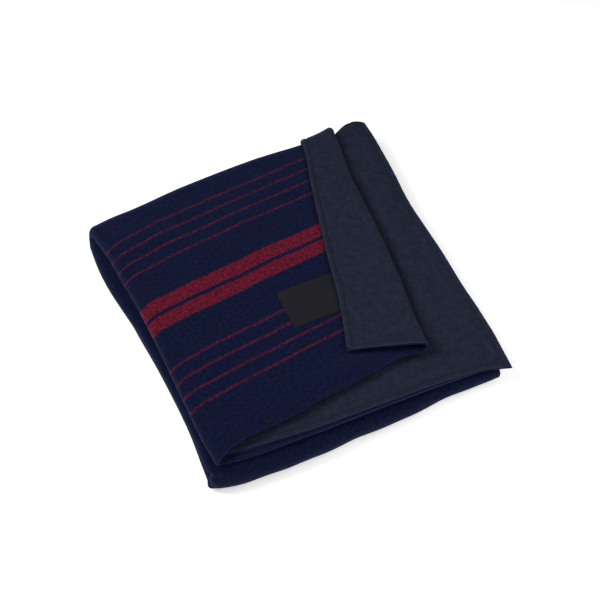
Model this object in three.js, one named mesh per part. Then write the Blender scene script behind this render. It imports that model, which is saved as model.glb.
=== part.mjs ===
// Folded picnic blanket: a wool face and a cotton backing, sewn together round their edges.
// It is folded in half with the cotton inside, and that pair of leaves is folded in thirds,
// back and forth, into a pile of six leaves. The end of the top leaf is turned back over
// itself, so that its cotton shows. Millimetres, +Z up. X runs along the front fold to the
// right, Y to the back, and the origin is under the middle of the pile, where it rests.

import * as THREE from "three";

// Cloth
const WOOL = 3;
const COTTON = 1.2;
const CLEAR = 0.3;

// Label
const LABEL_WIDTH = 108;
const LABEL_HEIGHT = 62;
const LABEL_THICKNESS = 0.6;
const LABEL_LIFT = 0.5;
const LABEL_CORNER = { x: 192, y: 160 };
const LABEL_TILT = THREE.MathUtils.degToRad(1);

// The turned back end: how far the seam there lies above the seam that it lies on, which
// leaves room for the label, and how far its front hem slants back for each step towards
// its side hem. A curl of half a turn lies down flat; it and the least curl are in degrees.
const LABEL_ROOM = 2.1;
const TURNED_LIFT = 2 * (CLEAR / 2 + WOOL) + LABEL_ROOM;
const TURNED_SLANT = 0.37;
const HALF_TURN = 180;
const LEAST_CURL = 0.05;

// Back hem of the bottom run, a place along Y
const BOTTOM_END = 436;

// The pile from left to right. half: from the middle of a pair of leaves to the seam between
// its cloths. rise: from one pair to the next. back, front: middles of the turns at the back
// and the front. lower, upper: free front edges of the top pair's two leaves.
const ACROSS = [
  { x: -20, half: 6.4, rise: 20.2, back: 416, front: 34, lower: 22, upper: 18 },
  { x: 22, half: 6.3, rise: 20.2, back: 423, front: 21, lower: 26, upper: 20 },
  { x: 60, half: 5.9, rise: 20.0, back: 427, front: 16.5, lower: 26, upper: 33 },
  { x: 140, half: 4.8, rise: 19.7, back: 439, front: 12, lower: 17, upper: 39 },
  { x: 250, half: 3.6, rise: 19.3, back: 448, front: 13, lower: 12, upper: 54 },
  { x: 340, half: 2.8, rise: 19.0, back: 447.5, front: 14, lower: 12, upper: 59 },
  { x: 385, half: 2.5, rise: 18.9, back: 452, front: 14, lower: 9, upper: 62 },
  { x: 420, half: 2.4, rise: 18.8, back: 467, front: 14.5, lower: 2, upper: 63 },
  { x: 455, half: 2.3, rise: 18.8, back: 460, front: 18, lower: -4, upper: 64 },
];

// Stations along a pair of leaves: 0 to 1 is the top run, 1 to 2 the turn at the back, 2 to 3
// the middle run, 3 to 4 the turn at the front and 4 to 5 the bottom run.

// The fold that joins the two leaves: its outside at the left
const LEFT_SIDE = [
  { station: 0, left: 25 },
  { station: 0.1, left: 20.5 },
  { station: 0.3, left: 18 },
  { station: 0.5, left: 16 },
  { station: 0.65, left: 12 },
  { station: 0.78, left: 5.5 },
  { station: 0.9, left: 0 },
  { station: 1, left: -6 },
  { station: 1.5, left: -10 },
  { station: 2, left: -14 },
  { station: 2.06, left: -17 },
  { station: 2.13, left: -16 },
  { station: 2.23, left: -11 },
  { station: 2.46, left: 4 },
  { station: 2.7, left: 11 },
  { station: 3, left: 15 },
  { station: 4, left: 13 },
  { station: 4.18, left: 15 },
  { station: 4.41, left: 9.5 },
  { station: 4.58, left: 2 },
  { station: 5, left: -14 },
];

// The side hem of the lower leaf
const RIGHT_SIDE = [
  { station: 0, right: 434 },
  { station: 0.1, right: 439 },
  { station: 0.3, right: 437 },
  { station: 0.45, right: 437 },
  { station: 0.62, right: 435 },
  { station: 0.82, right: 441 },
  { station: 1, right: 443.5 },
  { station: 1.2, right: 439 },
  { station: 1.5, right: 428 },
  { station: 2, right: 424 },
  { station: 3, right: 422 },
  { station: 4, right: 422 },
  { station: 5, right: 424 },
];

// The end of the upper leaf. bend: where it starts to turn back. curl: how far it turns, in
// degrees. arc: cloth in that curl. back: cloth that lies turned back past it.
const TURNED_END = [
  { station: 0, bend: 332, curl: 180, arc: 23, back: 93 },
  { station: 0.13, bend: 339, curl: 180, arc: 22, back: 86 },
  { station: 0.28, bend: 349, curl: 180, arc: 20, back: 81 },
  { station: 0.44, bend: 357, curl: 180, arc: 18, back: 77 },
  { station: 0.6, bend: 362, curl: 180, arc: 17, back: 68 },
  { station: 0.78, bend: 367, curl: 180, arc: 17, back: 57 },
  { station: 1, bend: 381, curl: 180, arc: 17, back: 50 },
  { station: 1.5, bend: 384, curl: 180, arc: 15, back: 46 },
  { station: 2, bend: 385, curl: 180, arc: 12.6, back: 41 },
  { station: 2.4, bend: 397, curl: 180, arc: 12.4, back: 16 },
  { station: 2.6, bend: 404, curl: 160, arc: 11, back: 4 },
  { station: 2.8, bend: 410, curl: 60, arc: 9, back: 2 },
  { station: 3, bend: 411, curl: 0, arc: 8, back: 2 },
  { station: 4, bend: 410, curl: 0, arc: 8, back: 2 },
  { station: 5, bend: 412, curl: 0, arc: 8, back: 2 },
];

// Soft rises and sags of the whole pile, strongest at its top: middle, reach and height.
const PILE_TOP = 60;
const SWELLS = [
  { x: 20, y: 330, wide: 70, deep: 100, lift: 2 },
  { x: 235, y: 230, wide: 130, deep: 120, lift: -2.5 },
  { x: 440, y: 0, wide: 80, deep: 60, lift: -6 },
];

// Steps of the grid that the cloths are made on
const RUN_STEPS = [0.035, 0.14, 0.27, 0.4, 0.53, 0.66, 0.79, 0.92, 1];
const TURN_STEPS = 6;
const LOWER_STEPS = [0, 0.02, 0.06, 0.11, 0.16, 0.22, 0.35, 0.48, 0.61, 0.74, 0.87, 1];
const UPPER_STEPS = [0.13, 0.26, 0.39, 0.52, 0.65, 0.78, 0.9, 1];
const FOLD_STEPS = 6;
const CURL_STEPS = 6;
const BACK_STEPS = 3;
const LABEL_STEPS = { down: 2, right: 3 };

const { clamp, degToRad, lerp } = THREE.MathUtils;

/** One named column of a table, read on a smooth curve between its rows. */
function read(table, key, at, name) {
  const last = table.length - 1;
  let next = 1;
  while (next < last && table[next][key] < at) {
    next += 1;
  }
  const slope = (row) => {
    const before = table[Math.max(row - 1, 0)];
    const after = table[Math.min(row + 1, last)];
    return (after[name] - before[name]) / (after[key] - before[key]);
  };
  const span = table[next][key] - table[next - 1][key];
  const t = clamp((at - table[next - 1][key]) / span, 0, 1);
  const ease = t * t * (3 - 2 * t);
  const leave = t * (1 - t) * (1 - t) * span * slope(next - 1);
  const arrive = t * t * (t - 1) * span * slope(next);
  return lerp(table[next - 1][name], table[next][name], ease) + leave + arrive;
}

const across = (x, name) => read(ACROSS, "x", x, name);
const leftAt = (station) => read(LEFT_SIDE, "station", station, "left");
const rightAt = (station) => read(RIGHT_SIDE, "station", station, "right");
const turnedAt = (station, name) => read(TURNED_END, "station", station, name);

/** The middle of a pair of leaves, and the way it faces, at a station and a place across. */
function pairMiddle(station, x, front) {
  const rise = across(x, "rise");
  const back = across(x, "back");
  const frontTurn = across(x, "front");
  const lowest = across(x, "half") + CLEAR / 2 + WOOL;
  const run = Math.min(Math.floor(station), 4);
  const part = station - run;
  const sine = Math.sin(part * Math.PI);
  const cosine = Math.cos(part * Math.PI);
  if (run === 0) {
    return { y: lerp(front, back, part), z: lowest + 2 * rise, ny: 0, nz: 1 };
  }
  if (run === 1) {
    const y = back + (rise / 2) * sine;
    return { y, z: lowest + 1.5 * rise + (rise / 2) * cosine, ny: sine, nz: cosine };
  }
  if (run === 2) {
    return { y: lerp(back, frontTurn, part), z: lowest + rise, ny: 0, nz: -1 };
  }
  if (run === 3) {
    const y = frontTurn - (rise / 2) * sine;
    return { y, z: lowest + (rise / 2) * (1 + cosine), ny: sine, nz: -cosine };
  }
  return { y: lerp(frontTurn, BOTTOM_END, part), z: lowest, ny: 0, nz: 1 };
}

/** The lower leaf of a pair, from its hem to the left fold. */
function lowerLeaf(part, station) {
  const left = leftAt(station);
  const x = lerp(rightAt(station), left + across(left, "half"), part);
  return { x, rise: -across(x, "half"), nx: 0, nr: -1, front: across(x, "lower") };
}

/** The fold that joins the two leaves of a pair. */
function leftFold(part, station) {
  const left = leftAt(station);
  const radius = across(left, "half");
  const nx = -Math.sin(part * Math.PI);
  const nr = -Math.cos(part * Math.PI);
  const x = left + radius * (1 + nx);
  return { x, rise: radius * nr, nx, nr, front: lerp(across(x, "lower"), across(x, "upper"), part) };
}

/** The upper leaf of a pair, from the left fold to where it turns back. */
function upperLeaf(part, station) {
  const left = leftAt(station);
  const x = lerp(left + across(left, "half"), turnedAt(station, "bend"), part);
  return { x, rise: across(x, "half"), nx: 0, nr: 1, front: across(x, "upper") };
}

/** The curl in which the upper leaf turns back. */
function curl(part, station) {
  const bend = turnedAt(station, "bend");
  const arc = turnedAt(station, "arc");
  const turn = degToRad(Math.max(turnedAt(station, "curl"), LEAST_CURL));
  const radius = arc / turn;
  const nx = -Math.sin(part * turn);
  const nr = Math.cos(part * turn);
  const rise = across(bend, "half") + radius * (1 - nr);
  const skew = (TURNED_SLANT * part * arc) / 2;
  return { x: bend - radius * nx, rise, nx, nr, front: across(bend, "upper") + skew };
}

/** The turned back end of the upper leaf, which comes down on the leaf towards its hem. */
function turnedBack(part, station) {
  const from = curl(1, station);
  const length = part * turnedAt(station, "back");
  const x = from.x + length * from.nr;
  const lying = across(x, "half") + TURNED_LIFT;
  const risen = from.rise - length * from.nx;
  const comesDown = turnedAt(station, "curl") >= HALF_TURN && risen > lying;
  const rise = comesDown ? lerp(risen, lying, part) : risen;
  return { x, rise, nx: from.nx, nr: from.nr, front: from.front + TURNED_SLANT * length };
}

const steps = (leaf, parts) => parts.map((part) => ({ leaf, part }));
const evenSteps = (count) => Array.from({ length: count }, (_, index) => (index + 1) / count);

const COLUMNS = [
  ...steps(lowerLeaf, LOWER_STEPS),
  ...steps(leftFold, evenSteps(FOLD_STEPS)),
  ...steps(upperLeaf, UPPER_STEPS),
  ...steps(curl, evenSteps(CURL_STEPS)),
  ...steps(turnedBack, evenSteps(BACK_STEPS)),
];

const STATIONS = [
  0,
  ...RUN_STEPS,
  ...evenSteps(TURN_STEPS).map((part) => 1 + part),
  ...RUN_STEPS.slice(1).map((part) => 2 + part),
  ...evenSteps(TURN_STEPS).map((part) => 3 + part),
  ...RUN_STEPS.slice(1).map((part) => 4 + part),
];

/** Lifts or lowers a point with the soft rises and sags of the pile. */
function settle(point) {
  for (const swell of SWELLS) {
    const u = (point.x - swell.x) / swell.wide;
    const v = (point.y - swell.y) / swell.deep;
    point.z += (point.z / PILE_TOP) * swell.lift * Math.exp(-u * u - v * v);
  }
  return point;
}

/** A point of the blanket, so far towards the wool from the seam between its cloths. */
function clothPoint(column, station, offset) {
  const { x, rise, nx, nr, front } = column.leaf(column.part, station);
  const { y, z, ny, nz } = pairMiddle(station, x, front);
  const height = rise + offset * nr;
  return settle(new THREE.Vector3(x + offset * nx, y + height * ny, z + height * nz));
}

/** A closed solid between two faces, each a grid of points of the same rows and columns. */
function closedSheet(under, over) {
  const rows = under.length;
  const columns = under[0].length;
  const points = [...under.flat(), ...over.flat()];
  const lower = (row, column) => row * columns + column;
  const upper = (row, column) => rows * columns + lower(row, column);
  const triangles = [];
  const quad = (a, b, c, d) => triangles.push(a, b, c, a, c, d);
  for (let row = 0; row + 1 < rows; row += 1) {
    for (let column = 0; column + 1 < columns; column += 1) {
      const corners = [
        [row, column],
        [row, column + 1],
        [row + 1, column + 1],
        [row + 1, column],
      ];
      const [a, b, c, d] = corners.map((corner) => upper(...corner));
      const [e, f, g, h] = corners.map((corner) => lower(...corner));
      triangles.push(a, b, c, a, c, d, e, g, f, e, h, g);
    }
  }
  for (let row = 0; row + 1 < rows; row += 1) {
    const end = columns - 1;
    quad(lower(row, 0), upper(row, 0), upper(row + 1, 0), lower(row + 1, 0));
    quad(upper(row, end), lower(row, end), lower(row + 1, end), upper(row + 1, end));
  }
  for (let column = 0; column + 1 < columns; column += 1) {
    const end = rows - 1;
    quad(lower(0, column), lower(0, column + 1), upper(0, column + 1), upper(0, column));
    quad(upper(end, column), upper(end, column + 1), lower(end, column + 1), lower(end, column));
  }
  const geometry = new THREE.BufferGeometry();
  geometry.setAttribute(
    "position",
    new THREE.Float32BufferAttribute(points.flatMap((point) => point.toArray()), 3),
  );
  geometry.setIndex(triangles);
  geometry.computeVertexNormals();
  return geometry;
}

/** One cloth of the blanket, between two offsets from the seam. */
function cloth(near, far) {
  const face = (offset) =>
    STATIONS.map((station) => COLUMNS.map((column) => clothPoint(column, station, offset)));
  return closedSheet(face(near), face(far));
}

/** The label, lying on the wool of the top leaf. */
function label() {
  const top = CLEAR / 2 + WOOL + LABEL_LIFT;
  const face = (lift) =>
    [0, ...evenSteps(LABEL_STEPS.down)].map((down) =>
      [0, ...evenSteps(LABEL_STEPS.right)].map((right) => {
        const u = right * LABEL_WIDTH;
        const v = down * LABEL_HEIGHT;
        const x = LABEL_CORNER.x + u * Math.cos(LABEL_TILT) - v * Math.sin(LABEL_TILT);
        const y = LABEL_CORNER.y + u * Math.sin(LABEL_TILT) + v * Math.cos(LABEL_TILT);
        const { z } = pairMiddle(0, x, 0);
        return settle(new THREE.Vector3(x, y, z + across(x, "half") + lift));
      }),
    );
  return closedSheet(face(top), face(top + LABEL_THICKNESS));
}

/** A named piece with the colour and finish of its cloth. */
function piece(name, geometry, color, roughness) {
  const material = new THREE.MeshStandardMaterial({ color, roughness, metalness: 0 });
  const mesh = new THREE.Mesh(geometry, material);
  mesh.name = name;
  return mesh;
}

const blanket = new THREE.Group();
blanket.add(
  piece("wool_face", cloth(CLEAR / 2, CLEAR / 2 + WOOL), 0x171b36, 0.95),
  piece("cotton_backing", cloth(-CLEAR / 2 - COTTON, -CLEAR / 2), 0x222635, 0.9),
  piece("label", label(), 0x222228, 0.8),
);

const box = new THREE.Box3().setFromObject(blanket);
blanket.position.set(-(box.min.x + box.max.x) / 2, -(box.min.y + box.max.y) / 2, -box.min.z);

export default blanket;
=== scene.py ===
"""Folded picnic blanket: striped navy wool and slate cotton, sewn together and folded in a pile.

The cloths follow the same path as the frame's solids. A pair of leaves, with the cotton inside,
runs back and forth in three runs, and the end of its upper leaf is turned back on itself.
Sizes are in millimetres along the pile, and become metres when a mesh is made.
"""

import math

import bpy
import numpy as np
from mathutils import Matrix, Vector


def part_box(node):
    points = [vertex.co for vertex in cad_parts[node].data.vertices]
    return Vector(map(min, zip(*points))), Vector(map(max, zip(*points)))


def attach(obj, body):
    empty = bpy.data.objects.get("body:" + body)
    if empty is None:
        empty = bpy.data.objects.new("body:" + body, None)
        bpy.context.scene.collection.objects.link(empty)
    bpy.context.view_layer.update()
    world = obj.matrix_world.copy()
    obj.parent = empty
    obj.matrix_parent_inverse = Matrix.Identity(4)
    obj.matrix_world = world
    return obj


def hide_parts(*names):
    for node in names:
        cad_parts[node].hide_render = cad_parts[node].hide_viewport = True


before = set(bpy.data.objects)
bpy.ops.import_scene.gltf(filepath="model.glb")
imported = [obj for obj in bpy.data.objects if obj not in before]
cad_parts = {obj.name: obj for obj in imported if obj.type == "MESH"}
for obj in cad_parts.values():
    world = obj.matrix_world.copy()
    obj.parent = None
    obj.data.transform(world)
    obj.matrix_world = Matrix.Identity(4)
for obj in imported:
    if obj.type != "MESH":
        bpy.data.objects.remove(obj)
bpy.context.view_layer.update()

MM = 0.001

# Cloth
WOOL = 3.0
COTTON = 1.2
CLEAR = 0.3

# Hems: wool and cotton are sewn together round the edge, turned out and stitched a little way
# in. The wool comes a little way round behind the seam, towards the cotton.
HEM_ROUND = 2.0
HEM_BEHIND = 1.75
HEM_TIP = 0.15
HEM_CREVICE = (-0.9, -0.1)
COTTON_INSET = 0.9
COTTON_ROUND = 0.8
COTTON_PUFF = 0.5
CORNER_ROUND = {"lower": 4.0, "back": 10.0}
STITCH_INSET = 7.5
STITCH_WIDTH = 1.4
WOOL_SINK = 0.3
COTTON_SINK = 0.85
SEAM_SINK = 0.5
PUCKER_LENGTH = 12.0
PUCKER_LIFT = 0.22
PUCKER_REACH = (16, 7)
PUCKER_END = (3.0, 2.0)

# The roll in which the wool comes up over the lower leaf's front hem. It has two beads with a
# groove between them, and starts a little way in from the left.
ROLL_PUFF = 2.3
ROLL_FULL = 8.0
ROLL_GROOVE = 0.42
ROLL_START = (31, 36)

# Label
LABEL_WIDTH = 108
LABEL_HEIGHT = 62
LABEL_THICKNESS = 0.6
LABEL_LIFT = 0.35
LABEL_SEAM = 3.0
LABEL_PUFF = 0.25
LABEL_PITCH = 4.0
LABEL_NEAR = (0, 0.15, 0.4, 0.8, 1.5, 2.3, 3.0, 4.0)
LABEL_CORNER = (192, 160)
LABEL_TILT = math.radians(1)

# The turned back end of the upper leaf
LABEL_ROOM = 2.1
TURNED_LIFT = 2 * (CLEAR / 2 + WOOL) + LABEL_ROOM
TURNED_SLANT = 0.39
NEARLY_HALF_TURN = 179.9
LEAST_CURL = 0.05
LEAST_BACK = 0.5
BOTTOM_END = 436


def table(names, *rows):
    """A table of named columns as arrays."""
    return {name: np.array(column, float) for name, column in zip(names.split(), zip(*rows))}


# The pile from left to right. half: from the middle of a pair to the seam between its cloths.
# rise: from one pair to the next. back, front: middles of the turns at the back and the front.
ACROSS = table(
    "x half rise back front",
    (-20, 6.4, 20.2, 416, 35),
    (22, 6.3, 20.2, 423, 21.5),
    (60, 5.9, 20.0, 427, 15),
    (140, 4.8, 19.7, 439, 11),
    (250, 3.6, 19.3, 448, 12),
    (340, 2.8, 19.0, 447.5, 15),
    (385, 2.5, 18.9, 452, 14),
    (420, 2.4, 18.8, 467, 14.5),
    (455, 2.3, 18.8, 460, 18),
)

# The front hems of the top pair. lower, upper: where its two leaves end. roll: how wide the
# wool comes up over the lower leaf's hem. raised: how far the upper leaf stands up there.
HEMS = table(
    "x lower upper roll raised",
    (-20, 24, 18, 11, 0),
    (22, 21.5, 18, 11, 0),
    (40, 18.5, 28, 11, 0),
    (60, 15.5, 34, 11, 0),
    (85, 13.5, 37, 10.5, 0),
    (140, 12, 40.5, 6.5, 0),
    (176, 11, 46.5, 5.2, 1),
    (220, 10, 51, 4, 2.5),
    (258, 9.5, 55.5, 3.5, 3.5),
    (296, 8.8, 60, 3, 3.5),
    (331, 7.5, 56, 2.4, 2.5),
    (360, 7, 58, 1.2, 1),
    (400, 4.5, 62, 0.1, 0),
    (420, -1, 63, 0, 0),
    (436, -6, 64, 0, 0),
    (455, -10, 64, 0, 0),
)
RAISED_REACH = 50

# Stations along a pair of leaves: 0 to 1 is the top run, 1 to 2 the turn at the back, 2 to 3
# the middle run, 3 to 4 the turn at the front and 4 to 5 the bottom run.
LEFT_SIDE = table(
    "station left sway",
    (0, 25, 0),
    (0.1, 20.5, -1),
    (0.3, 17.5, -1),
    (0.5, 14.5, -1.5),
    (0.65, 10.5, -3.5),
    (0.78, 4.5, -8.5),
    (0.9, -0.5, -10),
    (1, -7.3, -8),
    (1.5, -11.8, -4),
    (2, -16, 0),
    (2.06, -16.8, 0),
    (2.13, -16.8, 0),
    (2.23, -13.2, 0),
    (2.46, 1.2, 0),
    (2.7, 9.5, 0),
    (3, 13.5, 0),
    (4, 11, 0),
    (4.18, 13, 0),
    (4.41, 7.5, 0),
    (4.58, 0, 0),
    (5, -14, 0),
)
RIGHT_SIDE = table(
    "station right",
    (0, 436),
    (0.06, 437.5),
    (0.12, 439),
    (0.3, 437.7),
    (0.45, 438.2),
    (0.62, 436.5),
    (0.82, 443),
    (1, 445),
    (1.2, 439),
    (1.5, 428),
    (2, 425),
    (3, 425),
    (4, 425),
    (5, 425),
)

# The end of the upper leaf. bend: where it starts to turn back. curl: how far it turns, in
# degrees. arc: cloth in that curl. back: cloth that lies turned back past it. raised: how far
# the bend stands up from the leaf under it.
TURNED_END = table(
    "station bend curl arc back raised",
    (0, 332, 180, 23, 93, 2),
    (0.13, 339, 180, 22, 86, 2),
    (0.28, 349, 180, 20, 81, 2),
    (0.44, 357, 180, 18, 77, 3),
    (0.6, 362, 180, 17, 68, 3),
    (0.78, 367, 180, 17, 57, 2),
    (1, 381, 180, 17, 50, 0),
    (1.5, 384, 180, 15, 46, 0),
    (2, 385, 180, 12.6, 41, 0),
    (2.4, 397, 180, 12.4, 16, 0),
    (2.6, 404, 160, 11, 4, 0),
    (2.8, 410, 60, 9, 2, 0),
    (3, 411, 0, 8, 2, 0),
    (4, 410, 0, 8, 2, 0),
    (5, 412, 0, 8, 2, 0),
)
BEND_REACH = 70

# Soft rises and sags of the whole pile, strongest at its top
PILE_TOP = 60
SWELLS = table(
    "x y wide deep lift",
    (20, 330, 70, 100, 2),
    (235, 230, 130, 120, -2.5),
    (440, 0, 80, 60, -6),
)

# Red stripes on the wool, in millimetres from its front hem along the cloth: middle and width
STRIPES = (
    ("thin", 78.6, 3.7),
    ("thin", 100.6, 3.7),
    ("thin", 123.6, 3.7),
    ("thin", 146.5, 3.7),
    ("band", 214.4, 20.8),
    ("band", 240.9, 20.9),
    ("thin", 305.2, 3.3),
    ("thin", 327.0, 3.3),
    ("thin", 348.2, 3.3),
    ("thin", 368.5, 3.3),
)
STRIPE_SOFT = 1.2
STRIPE_DRIFT = 2.2
STRIPE_DRIFT_SCALE = 16.0
STRIPE_FUZZ = 1.5
STRIPE_FUZZ_SCALE = 500.0

# How far the stripes of the upper leaf sway from straight across it, to the back
STRIPE_SWAY = table(
    "x sway",
    (0, 0),
    (20, -1.5),
    (30, -3),
    (42, -5),
    (57, -6.4),
    (72, -5.6),
    (88, -4.6),
    (102, -3.8),
    (116, -2.4),
    (132, -1),
    (170, -0.9),
    (220, 0.3),
    (280, 1),
    (460, 1),
)
SWAY_REACH = (88, 12)

# Creases: soft troughs (below 0) and ridges (above 0), each along a bowed line between two
# places of the pile. They rise and fade out over parts of their length near those places.
CREASE = "x1 y1 x2 y2 bow wide height"
CREASE_RISE = (-0.15, 0.25)
CREASE_FADE = (1.15, 0.75)
TOP_CREASES = table(
    CREASE,
    (18, 352, 120, 372, 6, 26, 1.3),
    (30, 300, 150, 300, -8, 20, -0.9),
    (60, 262, 200, 292, 8, 16, 0.8),
    (110, 210, 230, 215, -6, 22, -0.8),
    (40, 150, 130, 175, 6, 18, 0.8),
    (90, 95, 260, 105, 10, 16, -0.7),
    (36, 44, 100, 62, -4, 10, 0.9),
    (150, 60, 300, 78, 6, 12, 0.6),
)
FLAP_CREASES = table(
    CREASE,
    (236, 100, 340, 62, 0, 13, 4.2),
    (303, 256, 289, 158, -3, 4.5, -1.3),
    (311, 262, 298, 150, -3, 8, 1.3),
    (300, 300, 322, 392, 6, 8, 1.3),
    (333, 330, 324, 240, -4, 5, -1.2),
    (320, 330, 325, 312, 3, 3.2, -1.2),
    (268, 150, 262, 122, 2, 4, -1.0),
    (271, 127, 304, 98, -3, 3.6, -1.7),
    (300, 99, 338, 90, -3, 3.6, -1.8),
    (262, 118, 330, 82, 2, 4.0, 0.9),
    (330, 396, 368, 372, 3, 4, -1.0),
    (344, 412, 362, 404, 2, 4, 1.2),
    (350, 430, 372, 446, 2, 4, -1.4),
)
UNDER_CREASES = table(
    CREASE,
    (343, 66, 353, 132, 2, 5, -2.5),
    (353, 128, 373, 252, 2, 5.5, -3.0),
    (373, 246, 381, 392, 1, 5, -2.5),
    (414, 354, 384, 108, -8, 9, 2.6),
    (424, 430, 416, 318, 4, 6, 1.8),
    (431, 330, 412, 120, -6, 6, -1.6),
    (397, 190, 395, 138, 3, 4.5, -2.0),
    (404, 300, 380, 130, -4, 5, -1.4),
    (350, 88, 384, 96, -2, 3.4, -2.0),
    (380, 96, 406, 107, 2, 3.4, -1.8),
    (352, 99, 396, 113, -2, 4.5, 1.5),
    (348, 72, 360, 57, -2, 3.2, -1.7),
    (357, 58, 387, 54, -4, 3.2, -2.1),
    (386, 54, 413, 56, 3, 3.2, -2.2),
    (412, 56, 421, 44, 2, 3.0, -1.8),
    (360, 66, 402, 65, -3, 4.0, 1.8),
    (396, 73, 410, 63, 2, 3.2, -1.7),
    (414, 51, 431, 42, 2, 3.0, -1.7),
    (372, 82, 408, 82, 3, 3.8, 1.3),
    (352, 38, 404, 36, 3, 4.5, 1.2),
    (411, 469, 428, 451, 3, 3.4, -2.6),
    (411, 450, 424, 448, -2, 3.2, -2.0),
    (404, 461, 420, 456, 2, 4.0, 1.8),
    (120, 34, 280, 38, 4, 5.0, 1.2),
    (230, 42, 330, 38, -3, 4.0, -1.3),
)
WALL_CREASES = table(
    CREASE,
    (90, 30, 200, 26, 3, 6.0, -1.2),
    (220, 14, 360, 18, -3, 6.0, 1.2),
    (40, 12, 120, 18, 2, 6.0, 1.0),
)

# Creases at the front left corner, each between two places on the seam. Ridges stand out on
# the wool's side.
CORNER_CREASES = table(
    "x1 y1 z1 x2 y2 z2 wide height",
    (14, 40, 31, 14, 30, 32, 3.4, 2.4),
    (14, 30, 32, 17, 21, 32, 3.2, 2.8),
    (17, 21, 32, 31, 15, 31, 3.4, 3.4),
    (15, 20, 30, 20, 15, 29, 3.8, -5.5),
    (20, 15, 29, 29, 10, 24.5, 4.4, -8.0),
    (12.5, 20, 22, 12.5, 15, 12, 3.4, 1.6),
)

# Where the cloth at that corner is pulled aside to make it square
CORNER_PULLS = table(
    "x y z wide to_x to_y",
    (11.5, 13.5, 8, 6, -3.2, -1.2),
    (18, 10, 8, 5, 0.6, 0.6),
)

# Slow waves of each leaf: waves per metre along x and along y, phase and height
RIPPLE = "per_x per_y phase height"
TOP_RIPPLES = table(
    RIPPLE,
    (6.1, 3.2, 0.4, 0.45),
    (-4.3, 7.9, 2.1, 0.40),
    (11.7, -6.4, 4.4, 0.22),
    (8.3, 14.9, 1.2, 0.20),
)
FLAP_RIPPLES = table(
    RIPPLE,
    (7.0, 9.5, 0.9, 0.40),
    (-12.0, 13.0, 2.6, 0.25),
    (21.0, 5.0, 5.1, 0.16),
)
UNDER_RIPPLES = table(
    RIPPLE,
    (8.5, 5.5, 1.7, 0.45),
    (-9.0, 12.0, 0.3, 0.35),
    (17.0, 21.0, 3.9, 0.18),
)
WALL_RIPPLES = table(
    RIPPLE,
    (7.5, 0.0, 0.8, 0.7),
    (15.5, 9.0, 2.9, 0.35),
)

# Stations over which creases and waves fade in or out, on the top run and on the front turn,
# and over which the stripes stop swaying
TOP_FADE = (1.5, 0.9)
WALL_RISE = (2.97, 3.2)
WALL_FADE = (4.0, 3.75)
SWAY_FADE = (1.3, 1)


def read(rows, key, at, name):
    """One named column of a table, read on a smooth curve between its rows."""
    keys, values = rows[key], rows[name]
    last = len(keys) - 1
    rows_before = np.maximum(np.arange(-1, last), 0)
    rows_after = np.minimum(np.arange(1, last + 2), last)
    slopes = (values[rows_after] - values[rows_before]) / (keys[rows_after] - keys[rows_before])
    after = np.clip(np.searchsorted(keys, at), 1, last)
    before = after - 1
    span = keys[after] - keys[before]
    t = np.clip((at - keys[before]) / span, 0, 1)
    ease = t * t * (3 - 2 * t)
    leave = t * (1 - t) ** 2 * span * slopes[before]
    arrive = t * t * (t - 1) * span * slopes[after]
    return values[before] * (1 - ease) + values[after] * ease + leave + arrive


def lerp(a, b, t):
    """A value part of the way from a to b."""
    return a + (b - a) * t


def across(x, name):
    """A size of the pile at a place from left to right."""
    return read(ACROSS, "x", x, name)


def hem(x, name):
    """A size of the top pair's front hems at a place from left to right."""
    return read(HEMS, "x", x, name)


def turned(station, name):
    """A size of the upper leaf's end at a station."""
    return read(TURNED_END, "station", station, name)


def pair_middle(station, x, front, inset):
    """The middle of a pair of leaves, and the way it faces, at stations and places across."""
    rise, back, front_turn = across(x, "rise"), across(x, "back"), across(x, "front")
    lowest = across(x, "half") + CLEAR / 2 + WOOL
    run = np.minimum(np.floor(station), 4)
    part = station - run
    sine, cosine = np.sin(part * np.pi), np.cos(part * np.pi)
    still = np.zeros_like(part)
    runs = [run == number for number in range(5)]
    y = np.select(runs, (
        lerp(front + inset, back, part),
        back + rise / 2 * sine,
        lerp(back, front_turn, part),
        front_turn - rise / 2 * sine,
        lerp(front_turn, BOTTOM_END - inset, part),
    ))
    z = np.select(runs, (
        lowest + 2 * rise,
        lowest + 1.5 * rise + rise / 2 * cosine,
        lowest + rise,
        lowest + rise / 2 * (1 + cosine),
        lowest,
    ))
    ny = np.select(runs, (still, sine, still, sine, still))
    nz = np.select(runs, (still + 1, cosine, still - 1, -cosine, still + 1))
    return y, z, ny, nz


# Each stretch of a pair of leaves, across its width, gives for parts of the stretch and for
# stations: x, the rise from the pair's middle, the way out (nx, nr), the free front edge, the
# roll over it, the cloth to the side hem, and which way along x that hem lies.


def lower_leaf(part, station, inset):
    """The lower leaf of a pair, from its hem to the left fold."""
    left = read(LEFT_SIDE, "station", station, "left")
    right = read(RIGHT_SIDE, "station", station, "right")
    half = across(left, "half")
    x = lerp(right - inset, left + half, part)
    still = np.zeros_like(x)
    front, roll = hem(x, "lower"), hem(x, "roll")
    return x, -across(x, "half"), still, still - 1, front, roll, right - x, still + 1


def left_fold(part, station, inset):
    """The fold that joins the two leaves of a pair."""
    left = read(LEFT_SIDE, "station", station, "left")
    right = read(RIGHT_SIDE, "station", station, "right")
    radius = across(left, "half")
    nx, nr = -np.sin(part * np.pi), -np.cos(part * np.pi)
    x = left + radius * (1 + nx)
    front = lerp(hem(x, "lower"), hem(x, "upper"), part)
    roll = hem(x, "roll") * (1 - part)
    return x, radius * nr, nx, nr, front, roll, right - left + radius * np.pi * part, 0 * x


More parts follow.
